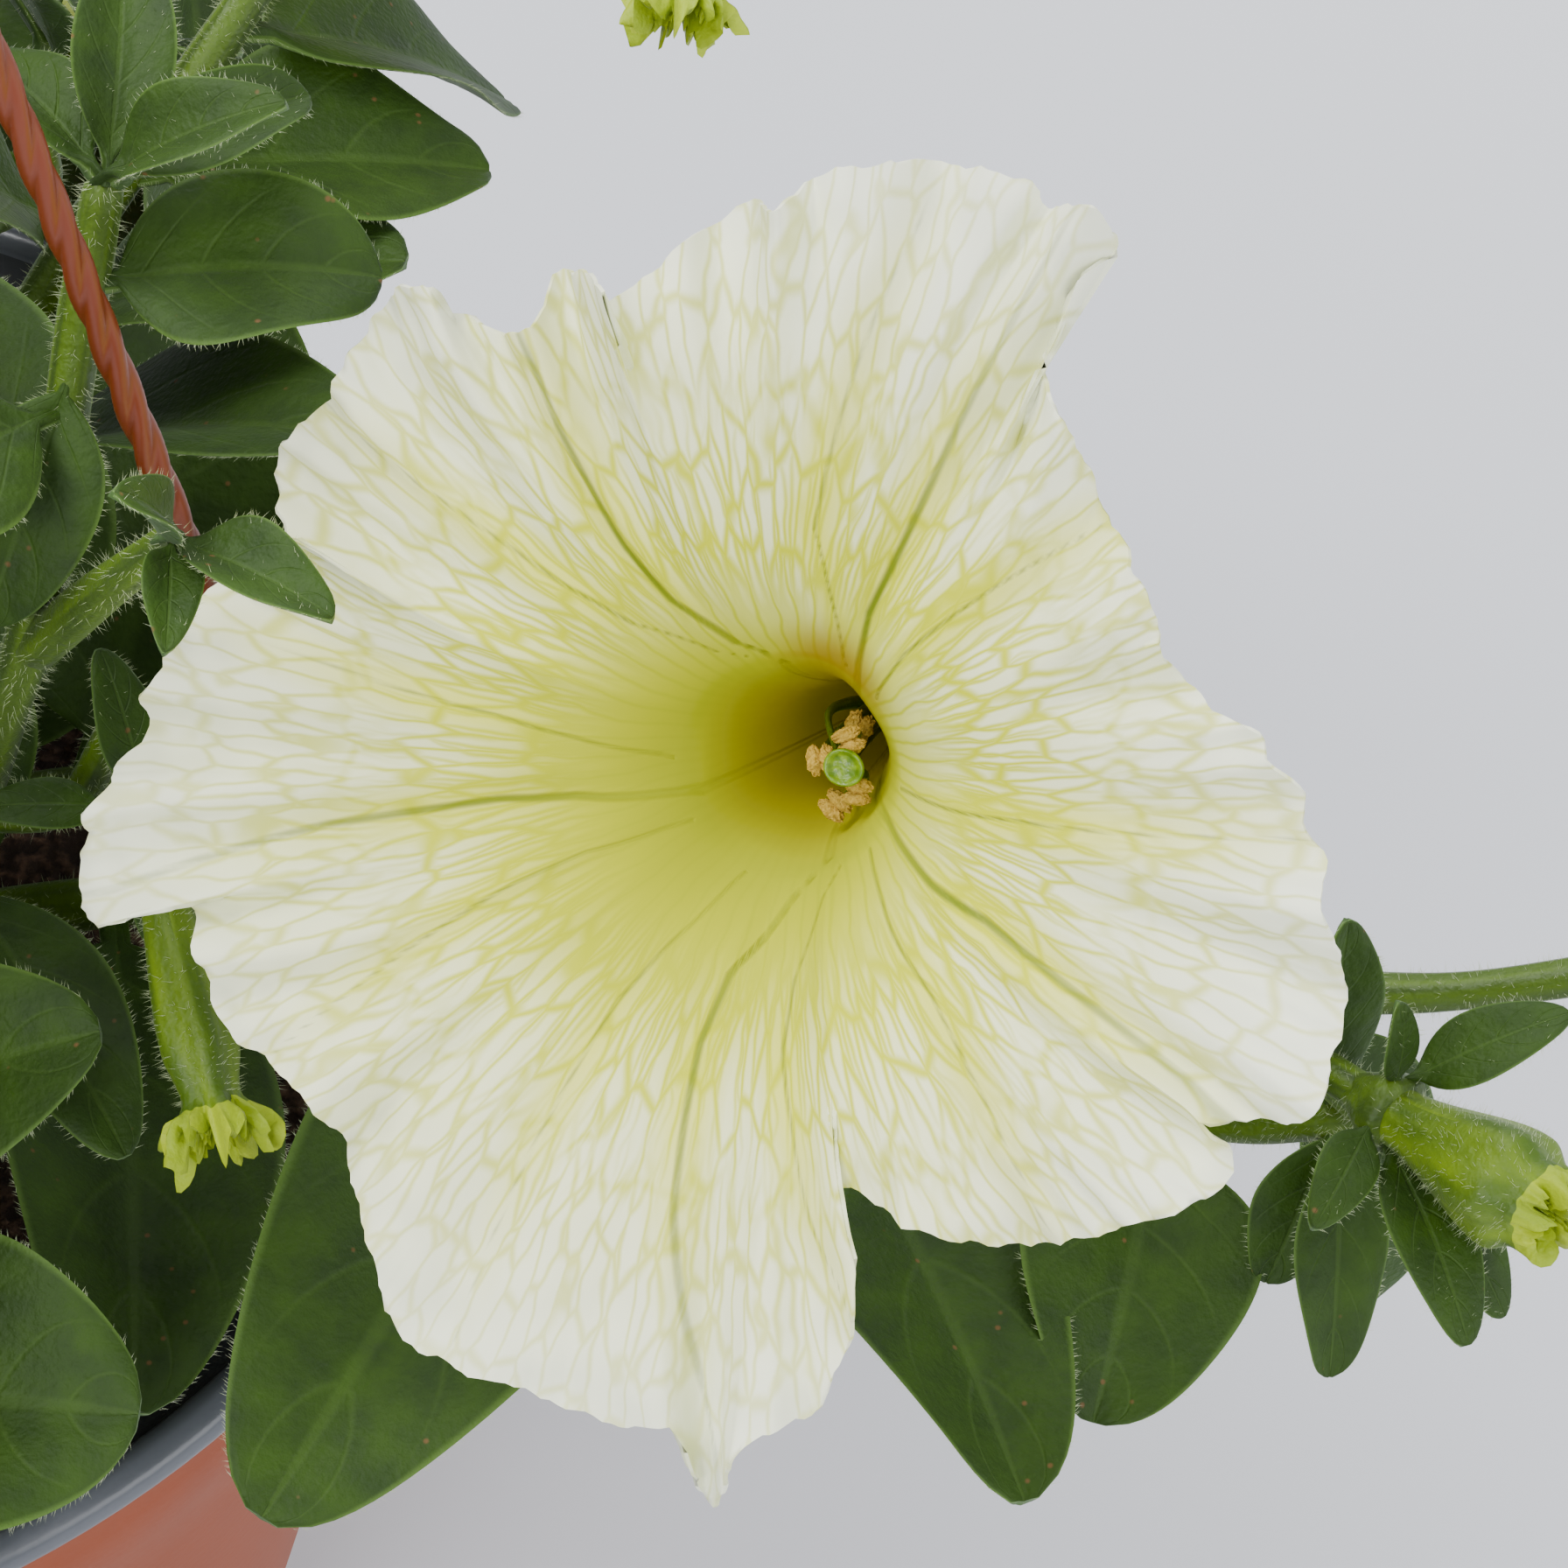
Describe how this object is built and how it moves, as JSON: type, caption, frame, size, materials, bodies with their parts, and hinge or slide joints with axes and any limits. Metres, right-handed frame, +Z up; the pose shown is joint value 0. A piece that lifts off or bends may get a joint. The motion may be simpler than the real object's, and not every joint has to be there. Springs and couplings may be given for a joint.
{
  "type": "petunia hanging basket",
  "caption": "Bushy petunia with large pale ruffled blooms and hairy leaves, growing in a small round pot that hangs from a twisted-strand clip-on hanger with an open hook.",
  "frame": {"origin": "centre of the pot's flat underside", "axes": "+Z up along the pot's axis towards the hook, +X towards the side with the largest bloom in full view, -Y towards the side that this bloom faces"},
  "size_m": [0.2806, 0.2453, 0.4295],
  "materials": {
    "pot_plastic": "thin formed plastic, terracotta outside and dark grey inside and on the rolled lip",
    "potting_soil": "dark crumbly peat soil",
    "hanger_plastic": "satin moulded orange-brown plastic with a twisted strand relief",
    "foliage": "soft green leaf, finely hairy, paler along the margins",
    "petal": "thin creamy white petal with a net of yellow-green veins and a yellow throat",
    "stamens": "yellow-green filaments, tan anthers and a glossy green stigma"
  },
  "bodies": {
    "root": {"pot": "pot_plastic", "soil": "potting_soil", "hanger_strand_1": "hanger_plastic", "hanger_strand_2": "hanger_plastic", "hanger_strand_3": "hanger_plastic", "hanger_hook": "hanger_plastic", "leafy_shoot_01": "foliage", "leafy_shoot_02": "foliage", "leafy_shoot_03": "foliage", "leafy_shoot_04": "foliage", "leafy_shoot_05": "foliage", "leafy_shoot_06": "foliage", "leafy_shoot_07": "foliage", "leafy_shoot_08": "foliage", "leafy_shoot_09": "foliage", "leafy_shoot_10": "foliage", "leafy_shoot_11": "foliage", "leafy_shoot_12": "foliage", "leafy_shoot_13": "foliage", "leafy_shoot_14": "foliage", "leafy_shoot_15": "foliage", "leafy_shoot_16": "foliage", "bloom_1": "petal", "bloom_1_stamens": "stamens", "bloom_2": "petal", "bloom_2_stamens": "stamens", "bloom_3": "petal", "bloom_3_stamens": "stamens", "bloom_4": "petal", "bloom_4_stamens": "stamens", "bloom_5": "petal", "bloom_5_stamens": "stamens", "bloom_6": "petal", "bloom_6_stamens": "stamens"}
  },
  "joints": []
}
